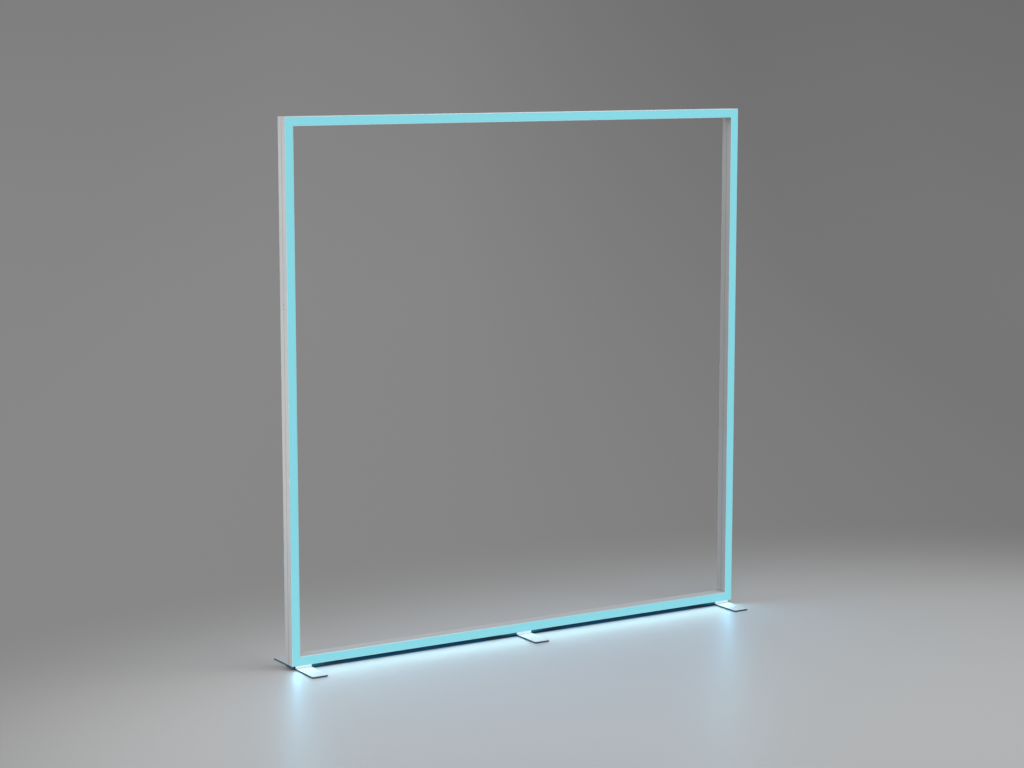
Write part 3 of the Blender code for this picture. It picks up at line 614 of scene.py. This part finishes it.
# Where the strip's lower edge is, at places along the stretch between two feet
def shadeStripStations(fromFoot, toFoot, overFeet, overFloor):
    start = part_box("foot_spacer_" + fromFoot)[1][0] + shadeStrip["endGap"] * millimetre
    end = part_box("foot_spacer_" + toFoot)[0][0] - shadeStrip["endGap"] * millimetre
    plateLow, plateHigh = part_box("foot_plate_" + fromFoot)
    pivot = (plateLow[0] + plateHigh[0]) / 2
    reach = math.hypot(plateHigh[0] - pivot, plateHigh[1]) + shadeStrip["turnRoom"] * millimetre
    slope = shadeStrip["rise"] * millimetre
    half = [(start, overFeet)]
    for step in range(shadeStrip["riseSteps"] + 1):
        share = step / shadeStrip["riseSteps"]
        eased = share * share * (3 - 2 * share)
        half.append((pivot + reach + share * slope, overFeet + eased * (overFloor - overFeet)))
    return half + [(start + end - x, low) for x, low in reversed(half)]


# Painted shade: a dark strip in the gap between two feet
def makeShadeStrip(fromFoot, toFoot):
    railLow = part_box("rail_bottom_left")[0]
    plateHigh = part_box("foot_plate_" + fromFoot)[1]
    top = railLow[2] - shadeStrip["joint"] * millimetre
    stations = shadeStripStations(fromFoot, toFoot, plateHigh[2] + shadeStrip["footClearance"] * millimetre,
                            shadeStrip["floorClearance"] * millimetre)
    bm = bmesh.new()
    rings = [[bm.verts.new((x, y, z)) for y, z in shadeStripSection(
        railLow[1] + shadeStrip["setBack"] * millimetre, low, top)] for x, low in stations]
    bm.faces.new(rings[0])
    bm.faces.new(rings[-1])
    for ring, following in zip(rings, rings[1:]):
        for i in range(len(ring)):
            j = (i + 1) % len(ring)
            bm.faces.new((ring[j], ring[i], following[i], following[j]))
    bmesh.ops.recalc_face_normals(bm, faces=bm.faces)
    strip = linkPiece("gap_shade_strip_" + fromFoot + "_" + toFoot, bm, shadeStripRubber)
    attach(strip, "frame")


makeShadeStrip("left", "middle")
makeShadeStrip("middle", "right")

# A block of the same rubber fills the end of the gap under the left post: painted shade, which makes
# the dark patch there.
endShadeBlock = {
    "length": 16.0,       # millimetres
    "fromEnd": 2.0,
    "setBack": 3.0,
    "bevel": 1.2,
    "bevelSteps": 3,
}


def makeEndShadeBlock():
    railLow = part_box("rail_bottom_left")[0]
    postLow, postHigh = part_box("post_left_lower")
    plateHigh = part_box("foot_plate_left")[1]
    inset = endShadeBlock["setBack"] * millimetre
    low = Vector((postLow[0] + endShadeBlock["fromEnd"] * millimetre, postLow[1] + inset,
                  plateHigh[2] + shadeStrip["footClearance"] * millimetre))
    high = Vector((low.x + endShadeBlock["length"] * millimetre, postHigh[1] - inset,
                   railLow[2] - shadeStrip["joint"] * millimetre))
    bm = bmesh.new()
    bmesh.ops.create_cube(bm, size=1, matrix=Matrix.Translation((low + high) / 2) @ Matrix.Diagonal(
        (*(high - low), 1)))
    bmesh.ops.bevel(bm, geom=bm.edges[:], offset=endShadeBlock["bevel"] * millimetre,
                    segments=endShadeBlock["bevelSteps"], affect="EDGES", profile=0.5)
    shadeBlock = linkPiece("end_shade_block_left", bm, grainedMaterial(
        "paintedShadeBlockRubber", shadeRubberFinish, {"IOR": 1.52}))
    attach(shadeBlock, "frame")


makeEndShadeBlock()

# Injection-moulded nylon spacers: pale and waxy, with the fine spark texture of the mould. The nylon is
# slightly translucent; its front has a painted glow in place of the band's light.
nylon = {"colour": "#dfe2e3", "shade": "#d2d6d8", "roughness": 0.46, "sheenRange": 0.05,
         "grain": 0.7, "cloud": 25, "relief": 0.25, "depth": 0.06}
nylonPaintedGlow = {"axis": "Y", "centre": 1, "reach": (0.4, 1), "colour": "#c8f0f8", "strength": 0.35}
dress(addPaintedGlow(grainedMaterial("mouldedNylon", nylon, {"IOR": 1.53}), **nylonPaintedGlow),
      "foot_spacer_left", "foot_spacer_middle", "foot_spacer_right")

# Zinc-plated steel: bright, bluish and slightly cloudy from the passivating bath
zincPlate = {"colour": "#c3c6c9", "shade": "#a9b0b6", "roughness": 0.3, "sheenRange": 0.08,
             "grain": 0.5, "cloud": 5, "relief": 0.2, "depth": 0.03}
dress(grainedMaterial("zincPlatedSteel", zincPlate, {"Metallic": 1.0}),
      "foot_nut_plate", *[n for n in nodes if n.startswith("foot_bolt")])

# The set screws at the splices are zinc plated too, but passivated black, which shows as two dark dots
blackZinc = {"colour": "#0f1011", "shade": "#0a0b0c", "roughness": 0.5, "sheenRange": 0.06,
             "grain": 0.5, "cloud": 4, "relief": 0.2, "depth": 0.03}
dress(grainedMaterial("blackZincPlatedSteel", blackZinc, {"Metallic": 0.3}),
      *[n for n in nodes if n.startswith("splice_screw")])

# Die-cast aluminium brackets: grey and matt, with the cool skin that the die leaves
dieCast = {"colour": "#a3a5a7", "shade": "#8c8f92", "roughness": 0.48, "sheenRange": 0.07,
           "grain": 1.0, "cloud": 12, "relief": 0.35, "depth": 0.08}
dress(grainedMaterial("dieCastAluminium", dieCast, {"Metallic": 1.0}),
      *[n for n in nodes if n.startswith("corner_bracket")])

# Mill-finish aluminium bar: as it left the press, a little brighter and streakier than the frame
millBar = {"colour": "#b9bbbd", "shade": "#a7aaac", "roughness": 0.36, "sheenRange": 0.08,
           "grain": 0.8, "cloud": 18, "relief": 0.25, "depth": 0.05}
dress(grainedMaterial("millAluminium", millBar, {"Metallic": 1.0}),
      *[n for n in nodes if n.startswith("splice_bar")])

# ABS housing of the inlet: black, moulded with a fine leather-like grain that dulls it
blackAbs = {"colour": "#1d1e20", "shade": "#161718", "roughness": 0.5, "sheenRange": 0.05,
            "grain": 0.6, "cloud": 10, "relief": 0.45, "depth": 0.06}
dress(grainedMaterial("mouldedAbs", blackAbs, {"IOR": 1.54}), "inlet_housing")

# Polycarbonate rocker: the same black, but polished in the mould, so it takes a highlight
rockerGloss = {"colour": "#17181a", "shade": "#121314", "roughness": 0.2, "sheenRange": 0.04,
               "grain": 2.5, "cloud": 8, "relief": 0.06, "depth": 0.03}
dress(grainedMaterial("polishedPolycarbonate", rockerGloss, {"IOR": 1.58}), "power_rocker")

# Marks on the rocker's two faces, a bar for on at the end pressed in, and a ring for off: printed in a
# thick white ink that stands up a little and dries matt
rockerMark = {
    "bar": (0.8, 3.2),        # millimetres
    "ring": (1.2, 1.7),       # inner and outer radius
    "ringSteps": 48,
    "thickness": 0.06,
    "lift": 0.01,             # above the face, so that the two don't share a face
    "faceArea": 40,           # square millimetres; the smaller faces of the rocker carry no mark
    "facing": 0.9,            # and nor do those that face less towards the back than this
}
markInk = {"colour": "#e6e7e4", "shade": "#d5d6d2", "roughness": 0.6, "sheenRange": 0.06,
           "grain": 0.3, "cloud": 1.5, "relief": 0.3, "depth": 0.02}
inkMaterial = grainedMaterial("padPrintInk", markInk, {"IOR": 1.5})


# Middle, upward direction and normal of the rocker's two faces, the lower one first
def rockerFaces():
    rocker = nodes["power_rocker"]
    turn = rocker.matrix_world.to_3x3()
    corners = {}
    for polygon in rocker.data.polygons:
        normal = (turn @ polygon.normal).normalized()
        large = polygon.area > rockerMark["faceArea"] * millimetre ** 2
        if large and normal.y > rockerMark["facing"]:
            key = tuple(round(share, 2) for share in normal)
            corners.setdefault(key, []).extend(
                rocker.matrix_world @ rocker.data.vertices[i].co for i in polygon.vertices)
    faces = []
    for key, points in corners.items():
        middle = Vector([
            (min(p[i] for p in points) + max(p[i] for p in points)) / 2 for i in range(3)])
        normal = Vector(key).normalized()
        faces.append((middle, Vector((1, 0, 0)).cross(normal), normal))
    return sorted(faces, key=lambda face: face[0].z)


# A flat mark with an outer outline and perhaps an inner one, both with the same number of points
def makeMark(name, face, outer, inner):
    middle, up, normal = face
    lift, thick = rockerMark["lift"] * millimetre, rockerMark["thickness"] * millimetre
    bm = bmesh.new()
    layers = [[[bm.verts.new(middle + Vector((x, 0, 0)) + up * y + normal * height)
                for x, y in outline] for height in (lift, lift + thick)]
              for outline in (outer, inner) if outline]
    for low, high in layers:
        for i in range(len(low)):
            bm.faces.new((low[i - 1], low[i], high[i], high[i - 1]))
    for level in (0, 1):
        if inner:
            outside, inside = layers[0][level], layers[1][level]
            for i in range(len(outside)):
                bm.faces.new((outside[i - 1], outside[i], inside[i], inside[i - 1]))
        else:
            bm.faces.new(layers[0][level])
    bmesh.ops.recalc_face_normals(bm, faces=bm.faces)
    mark = linkPiece(name, bm, inkMaterial)
    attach(mark, "rocker")


# Points round a circle, its radius in millimetres
def circle(radius):
    steps = rockerMark["ringSteps"]
    angles = [2 * math.pi * step / steps for step in range(steps)]
    return [(radius * millimetre * math.cos(a), radius * millimetre * math.sin(a)) for a in angles]


lowerFace, upperFace = rockerFaces()
halfWidth, halfLength = [size / 2 * millimetre for size in rockerMark["bar"]]
makeMark("rocker_mark_on", lowerFace, [
    (-halfWidth, -halfLength), (halfWidth, -halfLength),
    (halfWidth, halfLength), (-halfWidth, halfLength)], None)
makeMark("rocker_mark_off", upperFace, circle(rockerMark["ring"][1]), circle(rockerMark["ring"][0]))

# Nickel-plated brass pins: warm silver, rubbed along their length by plugs
nickel = {"colour": "#d6cfc0", "shade": "#c2b9a6", "roughness": 0.24, "sheenRange": 0.08,
          "grain": 0.5, "cloud": 3, "relief": 0.15, "depth": 0.02}
dress(grainedMaterial("nickelPlatedBrass", nickel, {"Metallic": 1.0}),
      "inlet_pin_live", "inlet_pin_neutral", "inlet_pin_earth")

# Inside the frame: white solder mask on the light strips, PVC on the wires, ABS on the power supply
solderMask = {"colour": "#eceeee", "shade": "#e0e3e3", "roughness": 0.4, "sheenRange": 0.05,
              "grain": 0.6, "cloud": 9, "relief": 0.2, "depth": 0.03}
dress(grainedMaterial("whiteSolderMask", solderMask, {"IOR": 1.5}),
      *[n for n in nodes if n.startswith("led_strip")])
pvc = {"colour": "#b9bcbe", "shade": "#abaeb0", "roughness": 0.5, "sheenRange": 0.05,
       "grain": 0.8, "cloud": 15, "relief": 0.15, "depth": 0.04}
dress(grainedMaterial("pvcSheath", pvc, {"IOR": 1.53}),
      "supply_lead", "feed_lead", *[n for n in nodes if n.startswith("led_link")])
whiteAbs = {"colour": "#e2e3e2", "shade": "#d9dad9", "roughness": 0.42, "sheenRange": 0.05,
            "grain": 0.7, "cloud": 20, "relief": 0.3, "depth": 0.05}
dress(grainedMaterial("whiteAbs", whiteAbs, {"IOR": 1.54}), "power_supply")
print("small pieces dressed")
